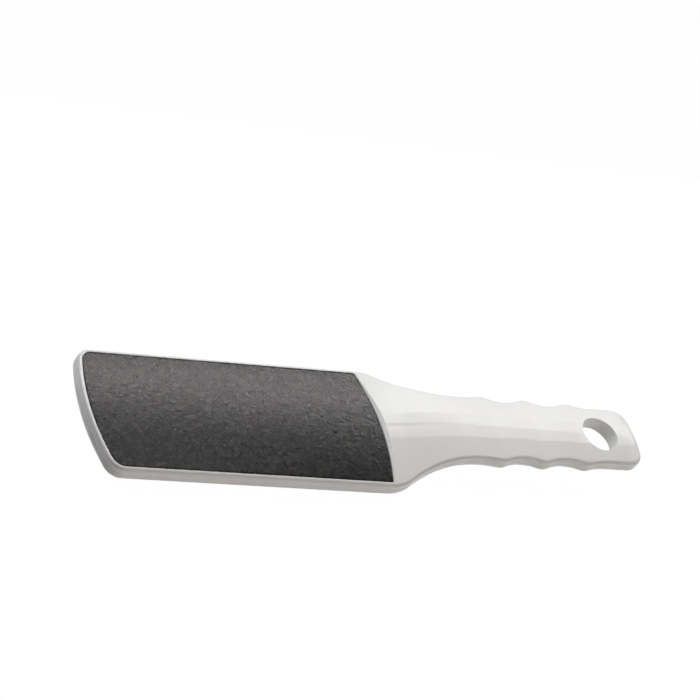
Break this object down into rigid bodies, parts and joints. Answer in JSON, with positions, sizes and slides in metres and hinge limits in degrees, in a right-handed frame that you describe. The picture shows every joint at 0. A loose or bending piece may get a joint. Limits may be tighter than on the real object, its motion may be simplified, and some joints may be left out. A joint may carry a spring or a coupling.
{
  "type": "foot file",
  "caption": "Foot file with a wide abrasive paddle, coarse in front and fine behind, on a cranked finger-grooved handle with a hanging hole.",
  "frame": {"origin": "centre of the footprint, on the surface that the file lies on", "axes": "+X along the file from the abrasive tip to the hanging hole, +Y across the paddle, +Z out of the coarse face"},
  "size_m": [0.24, 0.055, 0.0117],
  "materials": {
    "shell_plastic": "white moulded plastic with a soft gloss",
    "adhesive_film": "double-sided adhesive film",
    "backing_cloth": "resin-filled backing cloth",
    "coarse_grit": "coarse dark mineral grit bonded in resin",
    "fine_grit": "fine dark mineral grit bonded in resin"
  },
  "bodies": {
    "root": {"front_shell": "shell_plastic", "back_shell": "shell_plastic", "front_adhesive_film": "adhesive_film", "front_backing_cloth": "backing_cloth", "front_grit_coat": "coarse_grit", "back_adhesive_film": "adhesive_film", "back_backing_cloth": "backing_cloth", "back_grit_coat": "fine_grit"}
  },
  "joints": []
}
